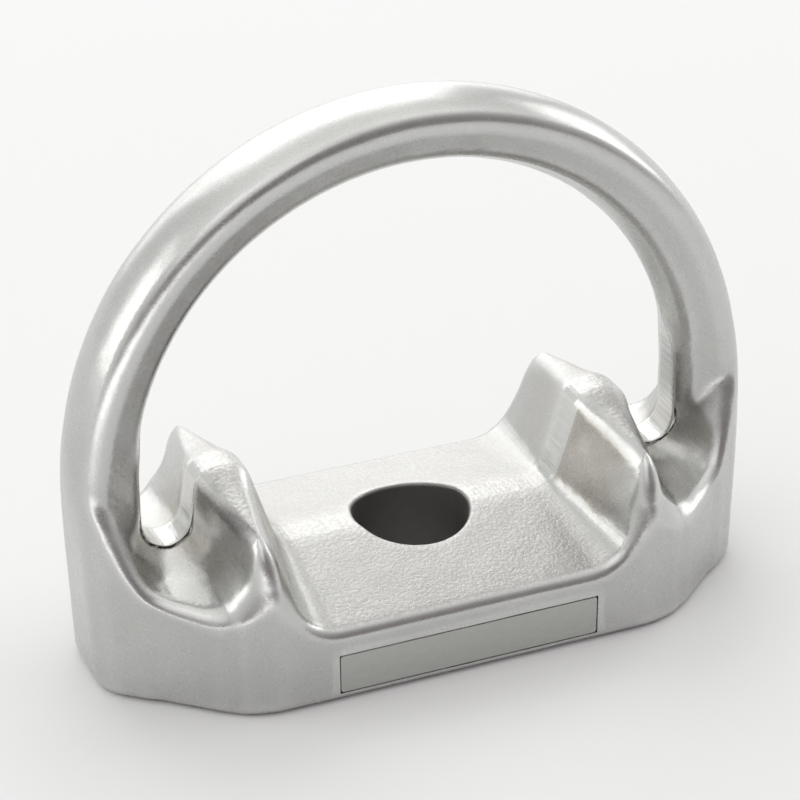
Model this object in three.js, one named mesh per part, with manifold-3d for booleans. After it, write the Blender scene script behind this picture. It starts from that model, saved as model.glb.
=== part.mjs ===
// Roof anchor: a drop-forged stainless steel eye standing on a drilled base block, with a thin
// blank marking plate let into the front face. Millimetres, +Z up. The origin is the middle of the
// underside, X runs along the base and -Y is the front. The anchor is the same left and right of
// x = 0 and, but for the plate, in front of and behind y = 0.
import * as THREE from 'three';
import { mergeVertices } from 'three/addons/utils/BufferGeometryUtils.js';
import Module from 'manifold-3d';

// Base block, seen from above: a rectangle with its four corners cut off.
const BASE_LENGTH = 81.8;
const BASE_DEPTH = 36.1;
const FRONT_FACE_LENGTH = 53.8;
const END_FACE_DEPTH = 12;
const END_LEAN = 0.8;
const FRONT_CORNER_RADIUS = 6;
const END_CORNER_RADIUS = 3;
const BOTTOM_EDGE_RADIUS = 0.8;

// Base block, seen from the front: a floor between two humps, then a groove and a shoulder.
const FLOOR_HEIGHT = 12.4;
const FLOOR_HALF_LENGTH = 17.4;
const FLOOR_FILLET = 2.6;
const HUMP_HEIGHT = 24.3;
const HUMP_INNER_EDGE = 21.1;
const HUMP_OUTER_EDGE = 27;
const HUMP_CREST_RADIUS = 3.5;
const HUMP_END_HEIGHT = 21.2;
const HUMP_END_RADIUS = 5.5;
const GROOVE_HEIGHT = 15.6;
const GROOVE_START = 28.4;
const GROOVE_END = 34.4;
const GROOVE_RADIUS = 2.4;
const SHOULDER_RADIUS = 5;
const SHOULDER_HEIGHT = 22;

// The dies part at y = 0. A flat band was punched there, and every wall leans away from it.
const PUNCHED_BAND = 4;
const DRAFT = 0.19;

// Eye: a half circle on two legs. Across it, an oval outside runs to the front and back edges, a
// flat face to each inner edge, and a second flat face to the inner band. Each depth is measured
// from the middle of the oval towards the window. The band was punched deeper in the legs.
const EYE_OUTER_RADIUS = 41.7;
const EYE_CENTRE_HEIGHT = 23.6;
const EYE_OVAL_WIDTH = 14.2;
const EYE_OVAL_HALF_THICKNESS = 4.3;
const EYE_WIDTH = 11.8;
const EYE_INNER_WIDTH = 7.34;
const EYE_INNER_DEPTH = 2.76;
const EYE_BAND_WIDTH = 1.2;
const EYE_BAND_DEPTH = 4.5;
const LEG_BAND_DEPTH = 3.7;
const LEG_BAND_FADE_HEIGHT = 50;
const EYE_LEG_START = 9;
const ROOT_FLARE_TOP = 27;
const ROOT_FLARE_BOTTOM = 15;
const ROOT_FLARE = 0.5;

const BOLT_HOLE_DIAMETER = 14;
const BOLT_HOLE_SIDES = 48;

// Marking plate and the shallow pocket that holds it, in the front face.
const PLATE_LENGTH = 32.2;
const PLATE_HEIGHT = 4.9;
const PLATE_THICKNESS = 0.5;
const PLATE_MIDDLE_HEIGHT = 3.7;
const PLATE_CORNER_RADIUS = 0.4;
const PLATE_SUNK = 0.05;
const PLATE_GAP = 0.3;

const OVERCUT = 2;
const ARC_SEGMENTS = 3;
const EYE_STEPS = 56;

const wasm = await Module();
wasm.setup();

const toSolid = (geometry) => {
  const bare = geometry.clone();
  bare.deleteAttribute('normal');
  bare.deleteAttribute('uv');
  const merged = mergeVertices(bare, 1e-4);
  return new wasm.Manifold(new wasm.Mesh({
    numProp: 3,
    vertProperties: new Float32Array(merged.attributes.position.array),
    triVerts: new Uint32Array(merged.index.array),
  }));
};

const toGeometry = (solid) => {
  const mesh = solid.getMesh();
  const geometry = new THREE.BufferGeometry();
  geometry.setAttribute('position', new THREE.BufferAttribute(mesh.vertProperties, 3));
  geometry.setIndex(new THREE.BufferAttribute(mesh.triVerts, 1));
  geometry.computeVertexNormals();
  return geometry;
};

// A closed outline through the corners [x, y, radius], each rounded by an arc of its radius.
const roundedOutline = (corners) => {
  const shape = new THREE.Shape();
  corners.forEach(([x, y, radius = 0], index) => {
    const corner = new THREE.Vector2(x, y);
    const before = new THREE.Vector2(...corners.at(index - 1));
    const after = new THREE.Vector2(...corners[(index + 1) % corners.length]);
    const towardsBefore = before.sub(corner).normalize();
    const towardsAfter = after.sub(corner).normalize();
    const halfAngle = Math.acos(towardsBefore.dot(towardsAfter)) / 2;
    const start = corner.clone().addScaledVector(towardsBefore, radius / Math.tan(halfAngle));
    const end = corner.clone().addScaledVector(towardsAfter, radius / Math.tan(halfAngle));
    if (index === 0) shape.moveTo(start.x, start.y);
    if (radius === 0) {
      shape.lineTo(x, y);
      return;
    }
    const clockwise = towardsBefore.cross(towardsAfter) > 0;
    const middle = towardsBefore.clone().add(towardsAfter).normalize();
    const centre = corner.clone().addScaledVector(middle, radius / Math.sin(halfAngle));
    const startAngle = start.sub(centre).angle();
    const endAngle = end.sub(centre).angle();
    shape.absarc(centre.x, centre.y, radius, startAngle, endAngle, clockwise);
  });
  return shape;
};

const mirrored = (corners) => [
  ...corners,
  ...corners.map(([x, y, radius]) => [-x, y, radius]).reverse(),
];

// The cut corners lie on straight lines that run on a little past the end faces.
const planOutline = () => {
  const cut = (BASE_DEPTH - END_FACE_DEPTH) / (BASE_LENGTH - FRONT_FACE_LENGTH);
  const endFace = END_FACE_DEPTH / 2 - END_LEAN * cut;
  return roundedOutline(mirrored([
    [FRONT_FACE_LENGTH / 2, -BASE_DEPTH / 2, FRONT_CORNER_RADIUS],
    [BASE_LENGTH / 2 + END_LEAN, -endFace, END_CORNER_RADIUS],
    [BASE_LENGTH / 2 + END_LEAN, endFace, END_CORNER_RADIUS],
    [FRONT_FACE_LENGTH / 2, BASE_DEPTH / 2, FRONT_CORNER_RADIUS],
  ]));
};

// The block seen from the front: its second coordinate is the height.
const frontOutline = () => roundedOutline(mirrored([
  [BASE_LENGTH / 2, -OVERCUT],
  [BASE_LENGTH / 2 + END_LEAN, SHOULDER_HEIGHT],
  [GROOVE_END, GROOVE_HEIGHT, SHOULDER_RADIUS],
  [GROOVE_START, GROOVE_HEIGHT, GROOVE_RADIUS],
  [HUMP_OUTER_EDGE, HUMP_HEIGHT, HUMP_CREST_RADIUS],
  [HUMP_INNER_EDGE, HUMP_HEIGHT, HUMP_CREST_RADIUS],
  [FLOOR_HALF_LENGTH, FLOOR_HEIGHT, FLOOR_FILLET],
]));

// The block seen from the end, which rounds the humps down to the front and back faces.
const endOutline = () => roundedOutline([
  [BASE_DEPTH / 2, -OVERCUT],
  [BASE_DEPTH / 2, HUMP_END_HEIGHT, HUMP_END_RADIUS],
  [0, HUMP_HEIGHT + OVERCUT],
  [-BASE_DEPTH / 2, HUMP_END_HEIGHT, HUMP_END_RADIUS],
  [-BASE_DEPTH / 2, -OVERCUT],
]);

// The direction into the metal at each point of a counterclockwise outline, long enough to keep
// the walls parallel when every point moves by the same share of it.
const inwardDirections = (points) => points.map((point, index) => {
  const before = points.at(index - 1);
  const after = points[(index + 1) % points.length];
  const arriving = point.clone().sub(before).normalize();
  const leaving = after.clone().sub(point).normalize();
  const inward = new THREE.Vector2(-arriving.y - leaving.y, arriving.x + leaving.x);
  return inward.divideScalar(1 + arriving.dot(leaving));
});

// The front outline at full size across the punched band, shrinking evenly towards both faces.
const draftedBlock = () => {
  const outline = frontOutline();
  const points = outline.getPoints(ARC_SEGMENTS);
  const inward = inwardDirections(points);
  const geometry = new THREE.ExtrudeGeometry(outline, {
    depth: 3,
    steps: 3,
    curveSegments: ARC_SEGMENTS,
    bevelEnabled: false,
  });
  geometry.translate(0, 0, -1.5);
  const position = geometry.attributes.position;
  const vertex = new THREE.Vector2();
  for (let i = 0; i < position.count; i += 1) {
    vertex.fromBufferAttribute(position, i);
    const index = points.findIndex((point) => point.distanceTo(vertex) < 1e-4);
    const side = position.getZ(i);
    const reach = Math.abs(side) > 1 ? BASE_DEPTH / 2 + OVERCUT : PUNCHED_BAND / 2;
    if (vertex.y > 0) vertex.addScaledVector(inward[index], DRAFT * (reach - PUNCHED_BAND / 2));
    position.setXYZ(i, vertex.x, vertex.y, Math.sign(side) * reach);
  }
  return geometry.rotateX(Math.PI / 2);
};

// Up the left leg, over the half circle and down the right leg, at an even speed.
class EyePath extends THREE.Curve {
  getPoint(t, target = new THREE.Vector3()) {
    const radius = EYE_OUTER_RADIUS - EYE_OVAL_HALF_THICKNESS;
    const leg = EYE_CENTRE_HEIGHT - EYE_LEG_START;
    const along = t * (2 * leg + Math.PI * radius);
    const angle = THREE.MathUtils.clamp((along - leg) / radius, 0, Math.PI);
    const below = Math.max(leg - along, along - leg - Math.PI * radius, 0);
    const height = EYE_CENTRE_HEIGHT + radius * Math.sin(angle) - below;
    return target.set(-radius * Math.cos(angle), 0, height);
  }
}

// Across the eye, the second coordinate pointing towards the middle of the window.
const eyeSection = () => {
  const section = new THREE.Shape();
  const edge = Math.acos(EYE_WIDTH / EYE_OVAL_WIDTH);
  const halfWidth = EYE_OVAL_WIDTH / 2;
  section.absellipse(0, 0, halfWidth, EYE_OVAL_HALF_THICKNESS, Math.PI + edge, 2 * Math.PI - edge);
  section.lineTo(EYE_INNER_WIDTH / 2, EYE_INNER_DEPTH);
  section.lineTo(EYE_BAND_WIDTH / 2, EYE_BAND_DEPTH);
  section.lineTo(-EYE_BAND_WIDTH / 2, EYE_BAND_DEPTH);
  section.lineTo(-EYE_INNER_WIDTH / 2, EYE_INNER_DEPTH);
  return section;
};

// The band lies deeper in the legs, where its edges slide out along the second flat faces, and the
// legs widen towards the front and back where they run into the shoulders.
const eye = () => {
  const geometry = new THREE.ExtrudeGeometry(eyeSection(), {
    steps: EYE_STEPS,
    curveSegments: 2 * ARC_SEGMENTS,
    extrudePath: new EyePath(),
  });
  const position = geometry.attributes.position;
  const vertex = new THREE.Vector3();
  const outward = new THREE.Vector3();
  const slide = (EYE_INNER_WIDTH - EYE_BAND_WIDTH) / 2 / (EYE_BAND_DEPTH - EYE_INNER_DEPTH);
  for (let i = 0; i < position.count; i += 1) {
    vertex.fromBufferAttribute(position, i);
    if (Math.abs(Math.abs(vertex.y) - EYE_BAND_WIDTH / 2) < 1e-4) {
      const fade = THREE.MathUtils.smoothstep(vertex.z, EYE_CENTRE_HEIGHT, LEG_BAND_FADE_HEIGHT);
      const rise = (EYE_BAND_DEPTH - LEG_BAND_DEPTH) * (1 - fade);
      outward.set(vertex.x, 0, Math.max(vertex.z - EYE_CENTRE_HEIGHT, 0)).normalize();
      vertex.addScaledVector(outward, rise);
      vertex.y += Math.sign(vertex.y) * rise * slide;
    }
    const fall = (ROOT_FLARE_TOP - vertex.z) / (ROOT_FLARE_TOP - ROOT_FLARE_BOTTOM);
    vertex.y *= 1 + ROOT_FLARE * Math.max(fall, 0) ** 2;
    position.setXYZ(i, vertex.x, vertex.y, vertex.z);
  }
  return geometry;
};

const planPrism = () => {
  const geometry = new THREE.ExtrudeGeometry(planOutline(), {
    depth: EYE_CENTRE_HEIGHT + EYE_OUTER_RADIUS,
    curveSegments: ARC_SEGMENTS,
    bevelThickness: BOTTOM_EDGE_RADIUS,
    bevelSize: BOTTOM_EDGE_RADIUS,
    bevelOffset: -BOTTOM_EDGE_RADIUS,
    bevelSegments: 2,
  });
  return geometry.translate(0, 0, BOTTOM_EDGE_RADIUS);
};

const endPrism = () => {
  const length = BASE_LENGTH + 2 * OVERCUT;
  const geometry = new THREE.ExtrudeGeometry(endOutline(), {
    depth: length,
    curveSegments: ARC_SEGMENTS,
    bevelEnabled: false,
  });
  return geometry.translate(0, 0, -length / 2).rotateY(Math.PI / 2).rotateX(Math.PI / 2);
};

const boltHole = () => {
  const radius = BOLT_HOLE_DIAMETER / 2;
  const length = FLOOR_HEIGHT + 2 * OVERCUT;
  const geometry = new THREE.CylinderGeometry(radius, radius, length, BOLT_HOLE_SIDES);
  return geometry.rotateX(Math.PI / 2).translate(0, 0, FLOOR_HEIGHT / 2);
};

// A rounded rectangle standing in the front face, grown all round by the margin.
const faceTablet = (thickness, margin) => {
  const halfLength = PLATE_LENGTH / 2 + margin;
  const halfHeight = PLATE_HEIGHT / 2 + margin;
  const radius = PLATE_CORNER_RADIUS + margin;
  const outline = roundedOutline(mirrored([
    [halfLength, -halfHeight, radius],
    [halfLength, halfHeight, radius],
  ]));
  const geometry = new THREE.ExtrudeGeometry(outline, {
    depth: thickness,
    curveSegments: ARC_SEGMENTS,
    bevelEnabled: false,
  });
  return geometry.rotateX(Math.PI / 2).translate(0, 0, PLATE_MIDDLE_HEIGHT);
};

const platePocket = () => {
  const depth = PLATE_SUNK + PLATE_THICKNESS + PLATE_GAP;
  const tablet = faceTablet(depth + OVERCUT, PLATE_GAP);
  return tablet.translate(0, depth - BASE_DEPTH / 2, 0);
};

const markingPlate = () => {
  const back = PLATE_SUNK + PLATE_THICKNESS - BASE_DEPTH / 2;
  return faceTablet(PLATE_THICKNESS, 0).translate(0, back, 0);
};

const forgedBody = () => {
  const block = toSolid(draftedBlock()).intersect(toSolid(endPrism()));
  const blank = block.add(toSolid(eye())).intersect(toSolid(planPrism()));
  return toGeometry(blank.subtract(toSolid(boltHole())).subtract(toSolid(platePocket())));
};

const steel = new THREE.MeshStandardMaterial({ color: 0xb9bab8, roughness: 0.34, metalness: 1 });
const plateSteel = new THREE.MeshStandardMaterial({ color: 0xa9aca6, roughness: 0.28, metalness: 1 });

const group = new THREE.Group();

const addPart = (name, geometry, material) => {
  const mesh = new THREE.Mesh(geometry, material);
  mesh.name = name;
  group.add(mesh);
};

addPart('forged_body', forgedBody(), steel);
addPart('marking_plate', markingPlate(), plateSteel);

export default group;
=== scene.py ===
# A forged stainless steel roof anchor on a pale floor. The forging is worked out as a distance
# field on a grid in millimetres and meshed from it; everything in Blender is in metres.
import math

import bmesh
import bpy
import numpy as np
from mathutils import Matrix, Vector


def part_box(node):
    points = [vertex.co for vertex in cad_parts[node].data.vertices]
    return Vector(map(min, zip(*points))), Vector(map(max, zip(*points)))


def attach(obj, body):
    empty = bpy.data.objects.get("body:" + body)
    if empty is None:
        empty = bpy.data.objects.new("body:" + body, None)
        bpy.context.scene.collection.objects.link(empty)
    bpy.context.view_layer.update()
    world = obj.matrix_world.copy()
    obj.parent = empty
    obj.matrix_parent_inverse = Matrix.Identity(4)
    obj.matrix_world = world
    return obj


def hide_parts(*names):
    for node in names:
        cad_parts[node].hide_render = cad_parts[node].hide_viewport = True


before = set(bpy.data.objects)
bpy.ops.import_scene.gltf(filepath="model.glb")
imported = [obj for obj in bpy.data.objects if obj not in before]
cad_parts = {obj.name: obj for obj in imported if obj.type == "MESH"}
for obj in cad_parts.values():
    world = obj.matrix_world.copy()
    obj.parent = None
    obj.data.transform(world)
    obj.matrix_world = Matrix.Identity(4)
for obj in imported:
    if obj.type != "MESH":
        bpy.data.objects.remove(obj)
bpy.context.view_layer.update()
MM = 0.001

# Overall sizes, from the frame.
BODY_LOW, BODY_HIGH = (np.array(corner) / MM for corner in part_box("forged_body"))
PLATE_LOW, PLATE_HIGH = (np.array(corner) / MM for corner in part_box("marking_plate"))
HALF_LENGTH = BODY_HIGH[0]
HALF_DEPTH = BODY_HIGH[1]
EYE_CENTRE_HEIGHT = BODY_HIGH[2] - HALF_LENGTH

# Base block, in millimetres. Blends are the widths over which two faces run into each other.
FRONT_FACE_HALF_LENGTH = 26.9
END_FACE_HALF_DEPTH = 6.0
END_LEAN = 0.8
FRONT_CORNER_BLEND = 3.3
END_CORNER_BLEND = 2.0
BOTTOM_EDGE_BLEND = 1.5
FLOOR_HEIGHT = 12.4
FLOOR_HALF_LENGTH = 17.4
FLOOR_FILLET = 2.6
HUMP_HEIGHT = 24.3
HUMP_INNER_EDGE = 21.1
HUMP_OUTER_EDGE = 27.0
HUMP_INNER_RADIUS = 3.3
HUMP_OUTER_RADIUS = 3.3
HUMP_RIDGE_BLEND = 2.9
HUMP_END_BLEND = 3.2
CREST_DROP = 0.35
LIP_BLEND = 1.9
FLOOR_LIP_BLEND = 1.3
GROOVE_HEIGHT = 15.6
GROOVE_START = 28.4
GROOVE_END = 34.4
GROOVE_RADIUS = 3.0
SHOULDER_RADIUS = 5.0
SHOULDER_TOP_RADIUS = 2.0
SHOULDER_SLOPE = 1.15
SHOULDER_HEIGHT = 28.0

# The dies part at y = 0, where a flat band was punched; every wall leans away from it.
BAND_HALF_WIDTH = 2.0
DRAFT = 0.19

# Eye section: each place is (away from the centre line, away from y = 0). An oval runs over the
# outside to the front edge, a flat face to the inner edge, and another to the punched band.
EYE_HALF_THICKNESS = 4.3
EYE_OVAL_HALF_WIDTH = 7.1
FRONT_EDGE = (2.4, 5.9)
INNER_EDGE = (-2.76, 3.67)
INNER_TIP = (-4.5, 0.6)
FRONT_EDGE_BLEND = 1.9
INNER_EDGE_BLEND = 0.6
ROOT_BLEND = 5.5
GROOVE_ROOT_BLEND = 3.0

# The punch ran deeper into the legs than into the half circle.
PUNCH_DEPTH = 0.8
PUNCH_FADE_HEIGHT = 50.0

# In the grooves the band stands a little proud and ends at a crack on either side.
TONGUE_HALF_WIDTH = 2.3
TONGUE_STEP = 0.3
CRACK_WIDTH = 0.06

BOLT_HOLE_RADIUS = 7.0
HOLE_EDGE_BLEND = 0.5
SHARP_EDGE = 0.22

# Around the plate the pocket leaves a narrow line, and goes a little deeper than the plate.
PLATE_GAP = 0.1
POCKET_DEPTH = 0.7
PLATE_RIM = 0.08
PLATE_CORNER = 0.4
PLATE_CORNER_STEPS = 6

# The stretches over which one shape gives way to the next, as (from, to). Those along x and y are
# counted from the middle, and those along z from the underside.
CREST_DROP_Y = (1, 6)
CREST_DROP_Z = (14, 21)
CREST_DROP_END_X = (28, 31)
LEG_ONLY_X = (28, 32)
EYE_ONLY_Z = (25, 27)
OVAL_STARTS_Z = (15, 32)
ROOT_WIDENS_Y = (2, 7)
LIP_WIDENS_X = (18, 27)
HUMP_END_WIDENS_Z = (11.5, 16.5)
TONGUE_STARTS_X = (27, 28.5)
TONGUE_ENDS_X = (34.5, 37)
TONGUE_TOP_Z = (17.5, 21)

# Where the material's marks and the painted shade on the humps start and end, in the same way, and
# how level or upright they need.
GROOVE_MARK_STARTS_X = (26, 28)
GROOVE_MARK_ENDS_X = (35, 37)
GROOVE_MARK_TOP_Z = (19, 22)
GROOVE_MARK_BOTTOM = 8
LEVEL_MARK_ENDS_X = (29, 32)
LEVEL_SLOPE = (0.75, 0.95)
HUMP_SHADE_ENDS_Y = (10, 15)
HUMP_SHADE_SLOPE = (0.75, 0.92)
REAR_HUMP_SHADE = 0.3

# Meshing: the even grid, its closer lines around fine detail, and the share of the faces, those
# that bend most, that are split once more. Points then settle on the surface in short steps.
GRID_STEP = 0.61
GRID_MARGIN = 1.0
FINE_STEP = 0.1
POCKET_REACH = 0.3
TONGUE_REACH = 0.2
FLOOR_LINES = (FLOOR_HEIGHT - 0.8, FLOOR_HEIGHT + 0.2)
REFINED_SHARE = 0.12
REFINE_REACH = 0.8
SETTLE_ROUNDS = 2
SETTLE_PROBE = 0.02
LONGEST_SETTLE = 0.15
LEAST_SQUARE_SLOPE = 0.2
NORMAL_PROBE = 0.08
EDGE_REACH = 1.2
RECESS_REACHES = (2.0, 4.0, 8.0, 14.0)
ARC_STEP = math.radians(9)

# Depths of the fine relief, in metres.
GRAIN_DEPTH = 0.000012
SHEAR_DEPTH = 0.0001
PIT_DEPTH = 0.00007
CRACK_DEPTH = 0.0001
PLATE_GRAIN_DEPTH = 0.00003

# Colours: the forging's, its painted shades among them, the plate's, then the studio's.
STEEL_DEEP = (0.52, 0.523, 0.513)
STEEL_PALE = (0.58, 0.583, 0.573)
STEEL_SPECK = (0.42, 0.41, 0.39)
TARNISH = (0.36, 0.325, 0.27)
EDGE_WEAR = (0.70, 0.70, 0.69)
SHEAR_MARK = (0.72, 0.72, 0.70)
FLOOR_WEAR = (0.45, 0.44, 0.42)
# Painted shade, warm-tinted, for the humps' faces towards the floor.
HUMP_FACE_SHADE_TINT = (0.37, 0.345, 0.305)
# Painted shade inside the cracks beside the punched band.
CRACK_SHADE = (0.10, 0.09, 0.08)
# Painted shade for the bore's wall.
BORE_SHADE = (0.27, 0.26, 0.25)
PLATE_DEEP = (0.47, 0.475, 0.452)
PLATE_PALE = (0.51, 0.515, 0.49)
PLATE_SPECK = (0.40, 0.40, 0.38)
STUDIO_FLOOR = (0.80, 0.80, 0.80)
WORLD_DIM = (0.24, 0.215, 0.225)
WORLD_PALE = (0.86, 0.86, 0.85)


def rounded_outline(corners):
    """Points along a closed outline whose corners (x, y, radius) are rounded by arcs."""
    points = []
    for index, (x, y, radius) in enumerate(corners):
        corner = np.array([x, y])
        before = np.array(corners[index - 1][:2]) - corner
        after = np.array(corners[(index + 1) % len(corners)][:2]) - corner
        before /= np.linalg.norm(before)
        after /= np.linalg.norm(after)
        if radius == 0:
            points.append(corner)
            continue
        half_angle = math.acos(before @ after) / 2
        start = corner + before * radius / math.tan(half_angle)
        middle = (before + after) / np.linalg.norm(before + after)
        centre = corner + middle * radius / math.sin(half_angle)
        turn = (math.pi - 2 * half_angle) * (-1 if before[0] * after[1] > before[1] * after[0] else 1)
        steps = max(2, math.ceil(abs(turn) / ARC_STEP))
        arm = start - centre
        for angle in np.linspace(0, turn, steps + 1):
            c, s = math.cos(angle), math.sin(angle)
            points.append(centre + [c * arm[0] - s * arm[1], s * arm[0] + c * arm[1]])
    return np.array(points)


# The top of the block seen from the front, for x >= 0, as two outlines closed far outside the
# metal: one over the floor and one over the groove. The humps stand where both are metal, and
# rounding their ridge lowers it by a share of the blend, so the outlines peak higher.
FAR = 60.0
RIDGE_LOSS = 0.29
PEAK_HEIGHT = HUMP_HEIGHT + RIDGE_LOSS * HUMP_RIDGE_BLEND
INNER_LEAN = (HUMP_INNER_EDGE - FLOOR_HALF_LENGTH) / (HUMP_HEIGHT - FLOOR_HEIGHT)
OUTER_LEAN = (HUMP_OUTER_EDGE - GROOVE_START) / (HUMP_HEIGHT - GROOVE_HEIGHT)
PEAK_INNER_EDGE = HUMP_INNER_EDGE + INNER_LEAN * (PEAK_HEIGHT - HUMP_HEIGHT)
PEAK_OUTER_EDGE = HUMP_OUTER_EDGE + OUTER_LEAN * (PEAK_HEIGHT - HUMP_HEIGHT)
SHOULDER_RUN = (SHOULDER_HEIGHT - GROOVE_HEIGHT) / SHOULDER_SLOPE
FLOOR_OUTLINE = rounded_outline([
    (-FAR, -FAR, 0),
    (FAR, -FAR, 0),
    (FAR, PEAK_HEIGHT, 0),
    (PEAK_INNER_EDGE, PEAK_HEIGHT, HUMP_INNER_RADIUS),
    (FLOOR_HALF_LENGTH, FLOOR_HEIGHT, FLOOR_FILLET),
    (-FAR, FLOOR_HEIGHT, 0),
])
GROOVE_OUTLINE = rounded_outline([
    (-FAR, -FAR, 0),
    (FAR, -FAR, 0),
    (FAR, SHOULDER_HEIGHT, 0),
    (GROOVE_END + SHOULDER_RUN, SHOULDER_HEIGHT, SHOULDER_TOP_RADIUS),
    (GROOVE_END, GROOVE_HEIGHT, SHOULDER_RADIUS),
    (GROOVE_START, GROOVE_HEIGHT, GROOVE_RADIUS),
    (PEAK_OUTER_EDGE, PEAK_HEIGHT, HUMP_OUTER_RADIUS),
    (-FAR, PEAK_HEIGHT, 0),
])


def outline_distance(x, y, outline):
    """Signed distance to a closed outline, negative inside."""
    nearest = np.inf
    inside = False
    for (ax, ay), (bx, by) in zip(outline, np.roll(outline, -1, axis=0)):
        ex, ey = bx - ax, by - ay
        wx, wy = x - ax, y - ay
        along = np.clip((wx * ex + wy * ey) / (ex * ex + ey * ey), 0, 1)
        nearest = np.minimum(nearest, (wx - ex * along) ** 2 + (wy - ey * along) ** 2)
        if ey != 0:
            crosses = (ay > y) != (by > y)
            inside = inside ^ (crosses & (x < ex * (y - ay) / ey + ax))
    return np.where(inside, -1, 1) * np.sqrt(nearest)


def cut(a, b, blend):
    """The metal that two fields share, with the edge between them rounded."""
    both = np.maximum(a, b)
    return np.minimum(both, -blend) + np.hypot(np.maximum(a + blend, 0), np.maximum(b + blend, 0))


def join(a, b, blend):
    """The metal of either field, with the corner between them filled."""
    return -cut(-a, -b, blend)


def smooth_step(value, low, high):
    t = np.clip((value - low) / (high - low), 0, 1)
    return t * t * (3 - 2 * t)


def flat_face(out, across, start, end):
    """Distance past the flat face of the eye that runs from start to end."""
    run, rise = start[0] - end[0], start[1] - end[1]
    return ((across - end[1]) * run - (out - end[0]) * rise) / math.hypot(run, rise)


def wobble(x, y, z):
    """The slight unevenness of a forged surface, a few hundredths of a millimetre."""
    waves = (
        np.sin(0.31 * x + 0.47 * y + 1.3) * np.sin(0.37 * z - 0.23 * x + 0.4)
        + 0.6 * np.sin(0.73 * x - 0.41 * z + 2.1) * np.sin(0.81 * y + 0.29 * z)
        + 0.4 * np.sin(1.37 * z + 0.9 * x) * np.sin(1.21 * y - 0.57 * x + 0.8)
    )
    return 0.02 * waves


def forging_fields(x, y, z):
    """Two signed distances: to the forging before it was punched, and to what the punch left."""
    ax, ay = np.abs(x), np.abs(y)
    over_floor = outline_distance(ax, z, FLOOR_OUTLINE)
    over_groove = outline_distance(ax, z, GROOVE_OUTLINE)
    top = cut(over_floor, over_groove, HUMP_RIDGE_BLEND)
    crest_drop = CREST_DROP * smooth_step(ay, *CREST_DROP_Y) * smooth_step(z, *CREST_DROP_Z)
    crest_drop = crest_drop * (1 - smooth_step(ax, *CREST_DROP_END_X))
    lean = DRAFT * (ay - BAND_HALF_WIDTH) + crest_drop
    draft = cut(over_floor + lean, over_groove + lean, HUMP_RIDGE_BLEND) / math.hypot(1, DRAFT)
    cut_x = HALF_LENGTH - END_LEAN - FRONT_FACE_HALF_LENGTH
    cut_y = HALF_DEPTH - END_FACE_HALF_DEPTH
    cut_length = math.hypot(cut_x, cut_y)
    front = ay - HALF_DEPTH
    corner = ((ax - FRONT_FACE_HALF_LENGTH) * cut_y + (ay - HALF_DEPTH) * cut_x) / cut_length
    end = ax - HALF_LENGTH + END_LEAN * np.maximum(1 - z / EYE_CENTRE_HEIGHT, 0)
    plan = cut(cut(front, corner, FRONT_CORNER_BLEND), end, END_CORNER_BLEND)

    radius = np.where(z > EYE_CENTRE_HEIGHT, np.hypot(ax, z - EYE_CENTRE_HEIGHT), ax)
    out = radius - HALF_LENGTH + EYE_HALF_THICKNESS
    a, b = EYE_HALF_THICKNESS, EYE_OVAL_HALF_WIDTH
    size = np.hypot(out / a, ay / b)
    oval = size * (size - 1) / np.maximum(np.hypot(out / a ** 2, ay / b ** 2), 1e-6)
    beyond_humps = np.maximum(smooth_step(ax, *LEG_ONLY_X), smooth_step(z, *EYE_ONLY_Z))
    share = beyond_humps * smooth_step(z, *OVAL_STARTS_Z)
    outer = plan + share * (oval - plan)

    front_face = flat_face(out, ay, FRONT_EDGE, INNER_EDGE)
    inner_face = flat_face(out, ay, INNER_EDGE, INNER_TIP)
    blend = GROOVE_ROOT_BLEND + (ROOT_BLEND - GROOVE_ROOT_BLEND) * smooth_step(ay, *ROOT_WIDENS_Y)
    inner = join(draft, cut(front_face, inner_face, INNER_EDGE_BLEND), blend)
    lip = FLOOR_LIP_BLEND + (LIP_BLEND - FLOOR_LIP_BLEND) * smooth_step(ax, *LIP_WIDENS_X)
    edge = lip + (HUMP_END_BLEND - lip) * smooth_step(z, *HUMP_END_WIDENS_Z) * (1 - beyond_humps)
    edge = edge + (FRONT_EDGE_BLEND - edge) * share
    forged = cut(inner, outer, edge)
    punch_depth = PUNCH_DEPTH * (1 - smooth_step(z, EYE_CENTRE_HEIGHT, PUNCH_FADE_HEIGHT))
    punched = join(top, punch_depth - out + INNER_TIP[0], GROOVE_ROOT_BLEND)
    in_groove = smooth_step(ax, *TONGUE_STARTS_X) * (1 - smooth_step(ax, *TONGUE_ENDS_X))
    in_groove = in_groove * (1 - smooth_step(z, *TONGUE_TOP_Z))
    forged = forged + TONGUE_STEP * in_groove * (ay > TONGUE_HALF_WIDTH)
    return forged, punched


def body_field(x, y, z):
    """Signed distance to the whole forging, with its hole and the pocket for the plate."""
    forged, punched = forging_fields(x, y, z)
    body = cut(forged + wobble(x, y, z), punched, SHARP_EDGE)
    body = cut(body, -z, BOTTOM_EDGE_BLEND)
    hole = np.maximum(np.hypot(x, y) - BOLT_HOLE_RADIUS, z - HUMP_HEIGHT)
    body = cut(body, -hole, HOLE_EDGE_BLEND)
    inside_x = np.abs(x) - PLATE_HIGH[0] - PLATE_GAP
    plate_middle = (PLATE_LOW[2] + PLATE_HIGH[2]) / 2
    inside_z = np.abs(z - plate_middle) - (PLATE_HIGH[2] - PLATE_LOW[2]) / 2 - PLATE_GAP
    pocket = np.maximum(np.maximum(inside_x, inside_z), y + HALF_DEPTH - POCKET_DEPTH)
    return np.maximum(body, -pocket)


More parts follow.
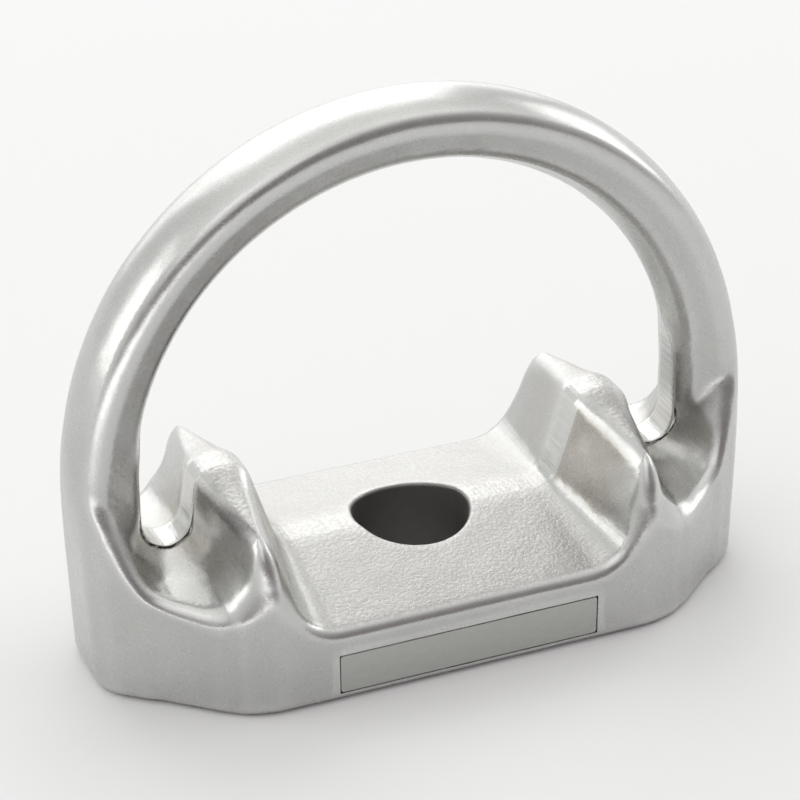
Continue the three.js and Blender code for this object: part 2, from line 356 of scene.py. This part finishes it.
def grid_lines(low, high, fine):
    """Even grid lines, with closer ones over the stretches in fine."""
    lines = np.arange(low, high + GRID_STEP, GRID_STEP)
    for start, stop in fine:
        lines = lines[(lines < start - FINE_STEP / 2) | (lines > stop + FINE_STEP / 2)]
        lines = np.append(lines, np.arange(start, stop + FINE_STEP / 2, FINE_STEP))
    return np.sort(lines)


def surface_net(field, xs, ys, zs):
    """One vertex in each grid cell that the surface crosses, joined by quads."""
    values = field(xs[:, None, None], ys[None, :, None], zs[None, None, :])
    solid = values < 0
    count = np.zeros(tuple(n - 1 for n in solid.shape), np.int8)
    for i in (0, 1):
        for j in (0, 1):
            for k in (0, 1):
                nx, ny, nz = count.shape
                count += solid[i:nx + i, j:ny + j, k:nz + k]
    cells = np.argwhere((count > 0) & (count < 8))
    number = np.full(count.shape, -1)
    number[tuple(cells.T)] = np.arange(len(cells))
    lines = (xs, ys, zs)
    total = np.zeros((len(cells), 3))
    hits = np.zeros(len(cells))
    for axis in range(3):
        others = [a for a in range(3) if a != axis]
        for p in (0, 1):
            for q in (0, 1):
                start = cells.copy()
                start[:, others[0]] += p
                start[:, others[1]] += q
                stop = start.copy()
                stop[:, axis] += 1
                v0, v1 = values[tuple(start.T)], values[tuple(stop.T)]
                crossed = (v0 < 0) != (v1 < 0)
                share = np.where(crossed, v0 / np.where(crossed, v0 - v1, 1), 0)
                point = np.stack([lines[a][start[:, a]] for a in range(3)], axis=1)
                step = lines[axis][stop[:, axis]] - lines[axis][start[:, axis]]
                point[:, axis] += share * step
                total += point * crossed[:, None]
                hits += crossed
    vertices = total / hits[:, None]
    faces = []
    for axis in range(3):
        b, c = (axis + 1) % 3, (axis + 2) % 3
        size = list(solid.shape)
        size[axis] -= 1
        low = solid.take(range(size[axis]), axis=axis)
        high = solid.take(range(1, size[axis] + 1), axis=axis)
        edges = np.argwhere(low != high)
        edges = edges[(edges[:, b] > 0) & (edges[:, c] > 0)]
        edges = edges[(edges[:, b] < size[b] - 1) & (edges[:, c] < size[c] - 1)]
        ring = []
        for db, dc in ((-1, -1), (0, -1), (0, 0), (-1, 0)):
            cell = edges.copy()
            cell[:, b] += db
            cell[:, c] += dc
            ring.append(number[tuple(cell.T)])
        quads = np.stack(ring, axis=1)
        outward = low[tuple(edges.T)]
        faces.append(np.where(outward[:, None], quads, quads[:, ::-1]))
    return vertices, np.concatenate(faces)


def slopes(field, points, probe):
    """The field's slope along x, y and z at each point."""
    x, y, z = points.T
    return np.stack([
        field(x + probe, y, z) - field(x - probe, y, z),
        field(x, y + probe, z) - field(x, y - probe, z),
        field(x, y, z + probe) - field(x, y, z - probe),
    ], axis=1) / (2 * probe)


def settle(field, points, rounds):
    """Moves points onto the surface along the field's slope."""
    for _ in range(rounds):
        slope = slopes(field, points, SETTLE_PROBE)
        square = np.maximum((slope ** 2).sum(axis=1), LEAST_SQUARE_SLOPE)
        step = slope * (field(*points.T) / square)[:, None]
        length = np.linalg.norm(step, axis=1, keepdims=True)
        points = points - step * np.minimum(1, LONGEST_SETTLE / np.maximum(length, 1e-9))
    return points


def bend(field, points, reach):
    """How far the surface curves away (above 0) or inwards (below 0), from points around it."""
    x, y, z = points.T
    total = -6 * field(x, y, z)
    for step in (-reach, reach):
        total += field(x + step, y, z) + field(x, y + step, z) + field(x, y, z + step)
    return total / reach


def recess(field, points, normals):
    """How much metal stands around each point: 0 in the open, towards 1 in a corner."""
    total = 0
    for reach in RECESS_REACHES:
        space = field(*(points + reach * normals).T)
        total = total + np.clip(1 - space / reach, 0, 1) / len(RECESS_REACHES)
    return total


def add_mesh(name, vertices, faces, smooth=True):
    mesh = bpy.data.meshes.new(name)
    mesh.from_pydata(vertices * MM, [], faces)
    mesh.polygons.foreach_set("use_smooth", [smooth] * len(mesh.polygons))
    mesh.update()
    piece = bpy.data.objects.new(name, mesh)
    bpy.context.collection.objects.link(piece)
    return piece


def refine(vertices, faces):
    """Splits the faces that lie where the surface bends most."""
    mesh = bmesh.new()
    made = [mesh.verts.new(point) for point in vertices]
    for face in faces:
        mesh.faces.new([made[i] for i in face])
    bends = np.abs(bend(body_field, vertices, REFINE_REACH))[faces].max(axis=1)
    limit = np.quantile(bends, 1 - REFINED_SHARE)
    bent = {edge for face, value in zip(mesh.faces, bends) if value > limit for edge in face.edges}
    edges = [edge for edge in mesh.edges if edge in bent]
    bmesh.ops.subdivide_edges(mesh, edges=edges, cuts=1, use_grid_fill=True)
    mesh.verts.index_update()
    vertices = np.array([vertex.co for vertex in mesh.verts])
    faces = [[vertex.index for vertex in face.verts] for face in mesh.faces]
    mesh.free()
    return vertices, faces


def make_body():
    """The forging as one closed mesh, with the numbers that its material reads."""
    pocket_x = PLATE_HIGH[0] + PLATE_GAP
    pocket_low = PLATE_LOW[2] - PLATE_GAP
    pocket_high = PLATE_HIGH[2] + PLATE_GAP
    fine_x = [(side - POCKET_REACH, side + POCKET_REACH) for side in (-pocket_x, pocket_x)]
    fine_y = [(-HALF_DEPTH - POCKET_REACH, -HALF_DEPTH + POCKET_DEPTH + POCKET_REACH)]
    for side in (-TONGUE_HALF_WIDTH, TONGUE_HALF_WIDTH):
        fine_y.append((side - TONGUE_REACH, side + TONGUE_REACH))
    fine_z = [(side - POCKET_REACH, side + POCKET_REACH) for side in (pocket_low, pocket_high)]
    fine_z.append(FLOOR_LINES)
    lines = [
        grid_lines(BODY_LOW[axis] - GRID_MARGIN, BODY_HIGH[axis] + GRID_MARGIN, fine)
        for axis, fine in enumerate((fine_x, fine_y, fine_z))
    ]
    vertices, faces = surface_net(body_field, *lines)
    vertices, faces = refine(settle(body_field, vertices, SETTLE_ROUNDS), faces)
    vertices = settle(body_field, vertices, SETTLE_ROUNDS)
    piece = add_mesh("anchor_forging", vertices, faces)
    normals = slopes(body_field, vertices, NORMAL_PROBE)
    normals /= np.linalg.norm(normals, axis=1, keepdims=True)
    piece.data.normals_split_custom_set_from_vertices(normals)
    add_surface_values(piece, vertices, normals)
    return piece


def add_surface_values(piece, vertices, normals):
    """Marks where the forging is punched, bent, level, bored, grooved or recessed, and where painted
    shade lies on the humps' faces towards the floor.
    """
    x, y, z = vertices.T
    ax, ay = np.abs(x), np.abs(y)
    forged, punched = forging_fields(x, y, z)
    add_value(piece, "punched", smooth_step(punched - forged, -0.05, 0.1))
    add_value(piece, "bend", bend(body_field, vertices, EDGE_REACH))
    groove = smooth_step(ax, *GROOVE_MARK_STARTS_X) * (1 - smooth_step(ax, *GROOVE_MARK_ENDS_X))
    groove = groove * (1 - smooth_step(z, *GROOVE_MARK_TOP_Z))
    level = smooth_step(normals[:, 2], *LEVEL_SLOPE) * (1 - smooth_step(ax, *LEVEL_MARK_ENDS_X))
    above_base = (z > 1) * (z < PEAK_HEIGHT)
    add_value(piece, "floor", level * above_base * (1 - groove))
    # The bore's wall, which gets painted shade and a rougher finish.
    in_bore = smooth_step(BOLT_HOLE_RADIUS + HOLE_EDGE_BLEND - np.hypot(x, y), 0.1, 0.4)
    add_value(piece, "bore", in_bore * (z < HUMP_HEIGHT))
    add_value(piece, "groove", groove * (z > GROOVE_MARK_BOTTOM))
    add_value(piece, "recess", recess(body_field, vertices, normals))
    # Painted shade, warm-tinted, on the humps' faces that turn towards the floor, stronger at the
    # front.
    faces_floor = smooth_step(-normals[:, 0] * np.sign(x), *HUMP_SHADE_SLOPE)
    hump_face_shade = faces_floor * (ax < PEAK_INNER_EDGE + 3)
    hump_face_shade = hump_face_shade * smooth_step(ay, TONGUE_HALF_WIDTH, TONGUE_HALF_WIDTH + 0.3)
    hump_face_shade = hump_face_shade * (1 - smooth_step(ay, *HUMP_SHADE_ENDS_Y)) * (z > FLOOR_HEIGHT)
    add_value(piece, "hump_face_shade", hump_face_shade * np.where(y < 0, 1, REAR_HUMP_SHADE))


def add_value(piece, name, values):
    attribute = piece.data.attributes.new(name, "FLOAT", "POINT")
    attribute.data.foreach_set("value", np.asarray(values, np.float32))


def make_plate():
    """The blank plate, a rounded slab with a softened rim."""
    low, high = PLATE_LOW, PLATE_HIGH
    rim, corner, steps = PLATE_RIM, PLATE_CORNER, PLATE_CORNER_STEPS
    rows = [(high[1], 0), (low[1] + rim, 0), (low[1] + rim * 0.3, rim * 0.3), (low[1], rim)]
    centre_z = (low[2] + high[2]) / 2
    half_x, half_z = high[0], (high[2] - low[2]) / 2
    vertices = []
    for y, inset in rows:
        for quarter, (sx, sz) in enumerate(((1, -1), (1, 1), (-1, 1), (-1, -1))):
            for step in range(steps + 1):
                angle = math.radians(-90 + 90 * quarter + 90 * step / steps)
                vertices.append((
                    sx * (half_x - corner) + (corner - inset) * math.cos(angle),
                    y,
                    centre_z + sz * (half_z - corner) + (corner - inset) * math.sin(angle),
                ))
    loop = 4 * (steps + 1)
    faces = []
    for row in range(len(rows) - 1):
        for i in range(loop):
            j = (i + 1) % loop
            faces.append((row * loop + i, row * loop + j, (row + 1) * loop + j, (row + 1) * loop + i))
    faces.append(tuple(range(loop)))
    faces.append(tuple(reversed(range((len(rows) - 1) * loop, len(rows) * loop))))
    return add_mesh("blank_marking_plate", np.array(vertices), faces, smooth=False)


class Nodes:
    """Short calls for building a material. Noise scales are per metre."""

    def __init__(self, name):
        self.material = bpy.data.materials.new(name)
        self.material.use_nodes = True
        self.tree = self.material.node_tree
        self.shader = self.tree.nodes["Principled BSDF"]

    def add(self, kind, **settings):
        node = self.tree.nodes.new(kind)
        for key, value in settings.items():
            setattr(node, key, value)
        return node

    def link(self, source, target):
        self.tree.links.new(source, target)

    def position(self, scale=(1, 1, 1)):
        place = self.add("ShaderNodeTexCoord")
        mapping = self.add("ShaderNodeMapping")
        mapping.inputs["Scale"].default_value = scale
        self.link(place.outputs["Object"], mapping.inputs["Vector"])
        return mapping.outputs["Vector"]

    def noise(self, vector, scale, detail=2.0, roughness=0.5):
        node = self.add("ShaderNodeTexNoise")
        node.inputs["Scale"].default_value = scale
        node.inputs["Detail"].default_value = detail
        node.inputs["Roughness"].default_value = roughness
        self.link(vector, node.inputs["Vector"])
        return node.outputs["Fac"]

    def math(self, operation, a, b=0.0):
        node = self.add("ShaderNodeMath", operation=operation)
        for socket, value in zip(node.inputs, (a, b)):
            if isinstance(value, (int, float)):
                socket.default_value = value
            else:
                self.link(value, socket)
        return node.outputs[0]

    def spread(self, value, low, high, new_low=0.0, new_high=1.0):
        node = self.add("ShaderNodeMapRange")
        self.link(value, node.inputs["Value"])
        names = ("From Min", "From Max", "To Min", "To Max")
        for name, number in zip(names, (low, high, new_low, new_high)):
            node.inputs[name].default_value = number
        return node.outputs["Result"]

    def mix(self, factor, a, b):
        node = self.add("ShaderNodeMix", data_type="RGBA")
        self.link(factor, node.inputs["Factor"])
        for socket, value in ((node.inputs[6], a), (node.inputs[7], b)):
            if isinstance(value, tuple):
                socket.default_value = (*value, 1)
            else:
                self.link(value, socket)
        return node.outputs[2]

    def bump(self, height, distance, strength=1.0, normal=None):
        node = self.add("ShaderNodeBump")
        node.inputs["Distance"].default_value = distance
        node.inputs["Strength"].default_value = strength
        self.link(height, node.inputs["Height"])
        if normal is not None:
            self.link(normal, node.inputs["Normal"])
        return node.outputs["Normal"]

    def band_edge(self, half_width, thickness):
        """1 along two slightly ragged lines at y = half_width and y = -half_width."""
        place = self.position()
        axes = self.add("ShaderNodeSeparateXYZ")
        self.link(place, axes.inputs["Vector"])
        ragged = self.spread(self.noise(place, 330, 3), 0.3, 0.7, -0.0002, 0.0002)
        offset = self.math("SUBTRACT", self.math("ABSOLUTE", axes.outputs["Y"]), half_width)
        offset = self.math("ABSOLUTE", self.math("ADD", offset, ragged))
        width = self.spread(self.noise(place, 260, 1), 0.4, 0.6, thickness * 0.2, thickness)
        return self.spread(self.math("DIVIDE", offset, width), 1.0, 0.5)

    def attribute(self, name):
        return self.add("ShaderNodeAttribute", attribute_name=name).outputs["Fac"]


def forged_steel():
    """Forged steel: fine grain everywhere, shear marks on the punched band, pits on the floor, and
    painted shade in the bore, along the cracks and on the humps' faces towards the floor.
    """
    n = Nodes("forged_steel")
    place = n.position()
    grain = n.noise(place, 4200, 2, 0.6)
    mottle = n.noise(place, 700, 3, 0.55)
    broad = n.noise(place, 55, 3)
    streaks = n.noise(n.position((1, 0.06, 1)), 1700, 3, 0.65)
    pits = n.noise(place, 2300, 3, 0.6)
    punched = n.attribute("punched")
    floor = n.attribute("floor")
    bore = n.attribute("bore")
    bend = n.attribute("bend")

    tone = n.mix(n.spread(broad, 0.35, 0.65), STEEL_DEEP, STEEL_PALE)
    speckle = n.spread(grain, 0.3, 0.7, 0.0, 0.4)
    tone = n.mix(speckle, tone, STEEL_SPECK)
    recessed = n.spread(n.attribute("recess"), 0.12, 0.5)
    tarnish = n.math("MULTIPLY", recessed, n.spread(n.noise(place, 150, 3), 0.3, 0.65))
    tarnish = n.math("MULTIPLY", tarnish, n.math("SUBTRACT", 1, punched))
    tone = n.mix(n.math("MULTIPLY", tarnish, 0.75), tone, TARNISH)
    tone = n.mix(n.spread(bend, 0.15, 0.9, 0.0, 0.5), tone, EDGE_WEAR)
    lines = n.math("MULTIPLY", punched, n.spread(streaks, 0.35, 0.65))
    tone = n.mix(n.math("MULTIPLY", lines, 0.6), tone, SHEAR_MARK)
    worn = n.math("MULTIPLY", floor, n.spread(pits, 0.35, 0.65, 0.1, 0.9))
    tone = n.mix(worn, tone, FLOOR_WEAR)
    # Painted shade, warm-tinted, on the humps' faces towards the floor.
    hump_shade = n.math("MULTIPLY", n.attribute("hump_face_shade"), n.spread(grain, 0.3, 0.7, 0.5, 0.9))
    tone = n.mix(hump_shade, tone, HUMP_FACE_SHADE_TINT)
    # Painted shade, near black, along the cracks at the band's edges in the grooves; the same line is
    # also pressed in as relief.
    band_edge = n.band_edge(TONGUE_HALF_WIDTH * MM, CRACK_WIDTH * MM)
    crack_and_shade = n.math("MULTIPLY", band_edge, n.attribute("groove"))
    tone = n.mix(crack_and_shade, tone, CRACK_SHADE)
    # Painted shade on the bore's wall.
    tone = n.mix(bore, tone, BORE_SHADE)
    n.link(tone, n.shader.inputs["Base Color"])
    n.shader.inputs["Metallic"].default_value = 1

    rough = n.spread(mottle, 0.3, 0.7, 0.24, 0.29)
    rough = n.math("ADD", rough, n.math("MULTIPLY", floor, 0.1))
    rough = n.math("SUBTRACT", rough, n.math("MULTIPLY", punched, 0.04))
    rough = n.math("ADD", rough, n.math("MULTIPLY", bore, 0.3))
    n.link(rough, n.shader.inputs["Roughness"])

    normal = n.bump(grain, GRAIN_DEPTH, 0.6)
    normal = n.bump(n.math("MULTIPLY", streaks, punched), SHEAR_DEPTH, 0.7, normal)
    pitted = n.math("MULTIPLY", n.spread(pits, 0.25, 0.6), floor)
    normal = n.bump(pitted, PIT_DEPTH, 0.5, normal)
    normal = n.bump(n.math("SUBTRACT", 1, crack_and_shade), CRACK_DEPTH, 1.0, normal)
    n.link(normal, n.shader.inputs["Normal"])
    return n.material


def plate_steel():
    """A smoother strip of steel, drawn out along its length."""
    n = Nodes("plate_steel")
    place = n.position()
    grain = n.noise(place, 4200, 2, 0.6)
    mottle = n.noise(n.position((1, 1, 3)), 500, 3, 0.6)
    tone = n.mix(n.spread(mottle, 0.3, 0.7), PLATE_DEEP, PLATE_PALE)
    tone = n.mix(n.spread(grain, 0.3, 0.7, 0.0, 0.25), tone, PLATE_SPECK)
    n.link(tone, n.shader.inputs["Base Color"])
    n.shader.inputs["Metallic"].default_value = 1
    n.link(n.spread(mottle, 0.3, 0.7, 0.3, 0.37), n.shader.inputs["Roughness"])
    n.link(n.bump(grain, PLATE_GRAIN_DEPTH, 0.5), n.shader.inputs["Normal"])
    return n.material


def pale_floor():
    n = Nodes("pale_floor")
    n.shader.inputs["Base Color"].default_value = (*STUDIO_FLOOR, 1)
    n.shader.inputs["Roughness"].default_value = 0.9
    return n.material


def add_piece(piece, material, node):
    piece.data.materials.append(material)
    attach(piece, "root")
    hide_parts(node)


def make_camera():
    """From the left front, looking down, with a long lens."""
    azimuth, elevation, roll = (math.radians(angle) for angle in (22.39, 28.13, 0.48))
    right = Vector((math.cos(azimuth), -math.sin(azimuth), 0))
    forward = Vector((math.sin(azimuth) * math.cos(elevation),
                      math.cos(azimuth) * math.cos(elevation), -math.sin(elevation)))
    up = right.cross(forward)
    aim_right, aim_up, distance = -0.0011, 0.0236, 0.3339
    aim = aim_right * right + aim_up * up
    across = math.cos(roll) * right - math.sin(roll) * up
    upward = math.sin(roll) * right + math.cos(roll) * up
    turn = Matrix((across, upward, -forward)).transposed().to_4x4()
    data = bpy.data.cameras.new("camera")
    data.lens = 124.1
    data.sensor_width = 36
    camera = bpy.data.objects.new("camera", data)
    camera.matrix_world = Matrix.Translation(aim - distance * forward) @ turn
    bpy.context.collection.objects.link(camera)
    bpy.context.scene.camera = camera


def place_light(name, data, place, target):
    light = bpy.data.objects.new(name, data)
    light.location = place
    light.rotation_euler = (Vector(target) - Vector(place)).to_track_quat("-Z", "Y").to_euler()
    bpy.context.collection.objects.link(light)


def soft_light(name, place, size, brightness, target=(0, 0, 0.025)):
    """A flat panel that looks equally bright from everywhere in front of it."""
    data = bpy.data.lights.new(name, "AREA")
    data.shape = "RECTANGLE"
    data.size, data.size_y = size
    data.energy = brightness * math.pi * size[0] * size[1]
    place_light(name, data, place, target)


def pool_of_light(name, place, target, width, energy):
    """A soft-edged spot on the floor, width degrees across."""
    data = bpy.data.lights.new(name, "SPOT")
    data.energy = energy
    data.spot_size = math.radians(width)
    data.spot_blend = 1
    place_light(name, data, place, target)


def make_world():
    """A pale studio, brighter overhead, with a dim side behind the camera."""
    world = bpy.data.worlds.new("studio")
    bpy.context.scene.world = world
    world.use_nodes = True
    tree = world.node_tree
    background = tree.nodes["Background"]
    place = tree.nodes.new("ShaderNodeTexCoord")
    axes = tree.nodes.new("ShaderNodeSeparateXYZ")
    tree.links.new(place.outputs["Generated"], axes.inputs["Vector"])

    def ramp(axis, low, high, new_low, new_high):
        node = tree.nodes.new("ShaderNodeMapRange")
        node.interpolation_type = "SMOOTHSTEP"
        names = ("From Min", "From Max", "To Min", "To Max")
        for name, number in zip(names, (low, high, new_low, new_high)):
            node.inputs[name].default_value = number
        tree.links.new(axes.outputs[axis], node.inputs["Value"])
        return node.outputs["Result"]

    tones = tree.nodes.new("ShaderNodeMix")
    tones.data_type = "RGBA"
    tones.inputs[6].default_value = (*WORLD_DIM, 1)
    tones.inputs[7].default_value = (*WORLD_PALE, 1)
    tree.links.new(ramp("Y", -1.0, -0.05, 0, 1), tones.inputs["Factor"])
    tree.links.new(tones.outputs[2], background.inputs["Color"])
    tree.links.new(ramp("Z", 0.5, 1.0, 1.0, 1.4), background.inputs["Strength"])


def make_stage():
    """A plain floor, four soft panels around the object and one over the floor at its front left."""
    bpy.ops.mesh.primitive_plane_add(size=6, location=(0, 0, 0))
    floor = bpy.context.object
    floor.name = "floor"
    floor.data.materials.append(pale_floor())
    make_world()
    soft_light("back", (0.1, 1.1, 0.72), (1.1, 0.9), 1.25)
    soft_light("back_low", (0.15, 1.1, 0.14), (1.2, 0.26), 0.85)
    soft_light("right", (1.13, 0.3, 0.5), (1.2, 0.55), 1.25)
    soft_light("left", (-1.13, 0.44, 0.43), (0.62, 0.7), 1.4)
    soft_light("front_left", (-0.36, -0.46, 0.55), (0.6, 0.6), 0.5, (-0.22, -0.26, 0))
    pool_of_light("pool", (-0.36, -0.46, 0.8), (-0.22, -0.3, 0), 34, 85)
    bpy.context.scene.view_settings.view_transform = "Standard"


make_camera()
add_piece(make_body(), forged_steel(), "forged_body")
add_piece(make_plate(), plate_steel(), "marking_plate")
make_stage()
